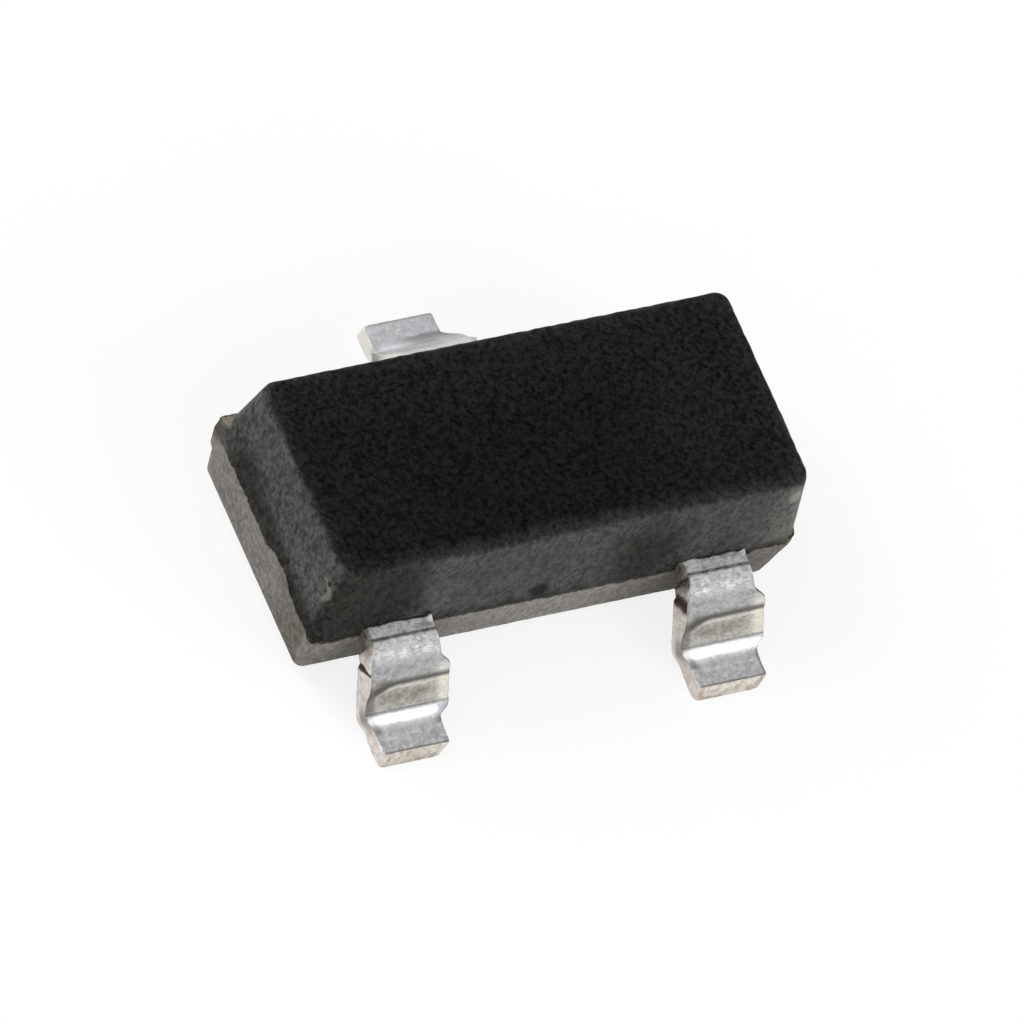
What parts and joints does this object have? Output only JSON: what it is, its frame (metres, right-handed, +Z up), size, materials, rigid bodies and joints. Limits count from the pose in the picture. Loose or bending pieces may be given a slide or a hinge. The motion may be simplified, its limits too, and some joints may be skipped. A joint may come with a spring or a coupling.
{
  "type": "bipolar transistor",
  "caption": "Surface-mount bipolar transistor: drafted black moulded body with flat leads bent down and out to feet.",
  "frame": {"origin": "under the middle of the package, on the plane that the feet stand on", "axes": "+X along the row of two leads, +Y towards the single lead, +Z up, away from the board"},
  "size_m": [0.003, 0.0024, 0.0009],
  "materials": {
    "moulding": "matt black epoxy moulding with a fine grain",
    "plated_lead": "matt tin plate on copper alloy strip",
    "silicon": "polished silicon",
    "attach_glue": "silver-filled glue",
    "gold_wire": "drawn gold wire"
  },
  "bodies": {
    "root": {"moulded_body": "moulding", "base_lead": "plated_lead", "emitter_lead": "plated_lead", "collector_lead": "plated_lead", "silicon_die": "silicon", "die_attach": "attach_glue", "base_bond_wire": "gold_wire", "emitter_bond_wire": "gold_wire"}
  },
  "joints": []
}
